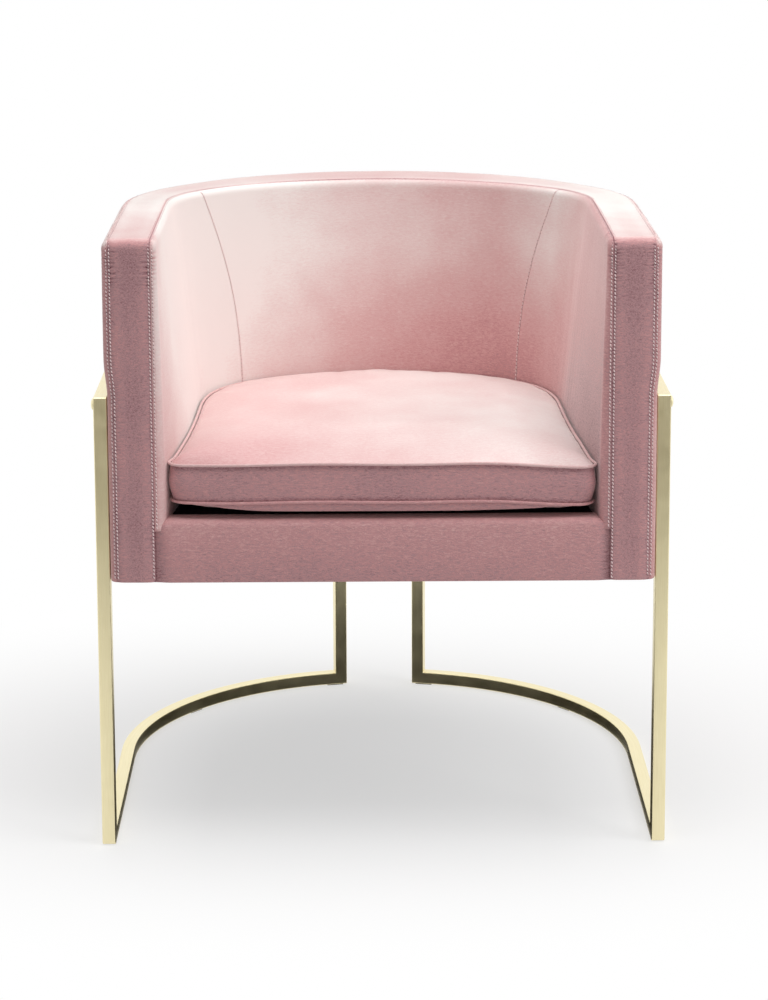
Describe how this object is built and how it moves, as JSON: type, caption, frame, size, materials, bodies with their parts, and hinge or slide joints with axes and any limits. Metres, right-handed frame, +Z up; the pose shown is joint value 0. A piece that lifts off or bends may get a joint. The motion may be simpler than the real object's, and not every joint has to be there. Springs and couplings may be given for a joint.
{
  "type": "tub armchair",
  "caption": "Upholstered tub armchair with a level curved back, a loose welted seat cushion and a bent square-bar metal frame.",
  "frame": {"origin": "on the floor, under the middle of the chair's box in plan", "axes": "+X to the sitter's left side as seen from the front (the viewer's right), +Y towards the back of the chair, +Z up; the open front faces -Y"},
  "size_m": [0.6656, 0.6348, 0.7205],
  "materials": {
    "brass": "satin",
    "insert_steel": "satin",
    "glide": "matte",
    "velvet": "matte",
    "plywood": "matte",
    "timber": "matte",
    "foam": "matte",
    "dark_cloth": "matte",
    "webbing": "matte"
  },
  "bodies": {
    "chair": {"front_leg_left": "brass", "front_leg_right": "brass", "rear_upright_left": "brass", "rear_upright_right": "brass", "top_band_left": "brass", "top_band_right": "brass", "floor_bar_left": "brass", "floor_bar_right": "brass", "front_screw_left": "brass", "front_screw_right": "brass", "rear_screw_left": "brass", "rear_screw_right": "brass", "front_insert_left": "insert_steel", "front_insert_right": "insert_steel", "rear_insert_left": "insert_steel", "rear_insert_right": "insert_steel", "glide_front_left": "glide", "glide_front_right": "glide", "glide_middle_left": "glide", "glide_middle_right": "glide", "glide_rear_left": "glide", "glide_rear_right": "glide", "outside_cover": "velvet", "border_strip": "velvet", "inside_back_cover": "velvet", "inside_arm_cover_left": "velvet", "inside_arm_cover_right": "velvet", "front_rail_cover": "velvet", "outer_panel": "plywood", "top_rail": "plywood", "base_ring": "timber", "front_rail": "timber", "arm_post_left": "timber", "arm_post_right": "timber", "side_post_left": "timber", "side_post_right": "timber", "back_post_left": "timber", "back_post_right": "timber", "border_foam": "foam", "inside_back_foam": "foam", "inside_arm_foam_left": "foam", "inside_arm_foam_right": "foam", "front_rail_foam": "foam", "seat_pad": "foam", "deck_cloth": "dark_cloth", "dust_cover": "dark_cloth", "webbing_long_left": "webbing", "webbing_long_middle": "webbing", "webbing_long_right": "webbing", "webbing_cross_front": "webbing", "webbing_cross_middle": "webbing", "webbing_cross_rear": "webbing"},
    "cushion": {"cushion_foam": "foam", "cushion_top": "velvet", "cushion_bottom": "velvet", "cushion_boxing": "velvet", "cushion_welt_top": "velvet", "cushion_welt_bottom": "velvet", "cushion_zip": "dark_cloth"}
  },
  "joints": [
    {"name": "cushion_lift", "type": "slide", "parent": "chair", "child": "cushion", "axis": [0, 0, 1], "range_m": [0, 0.33]}
  ]
}
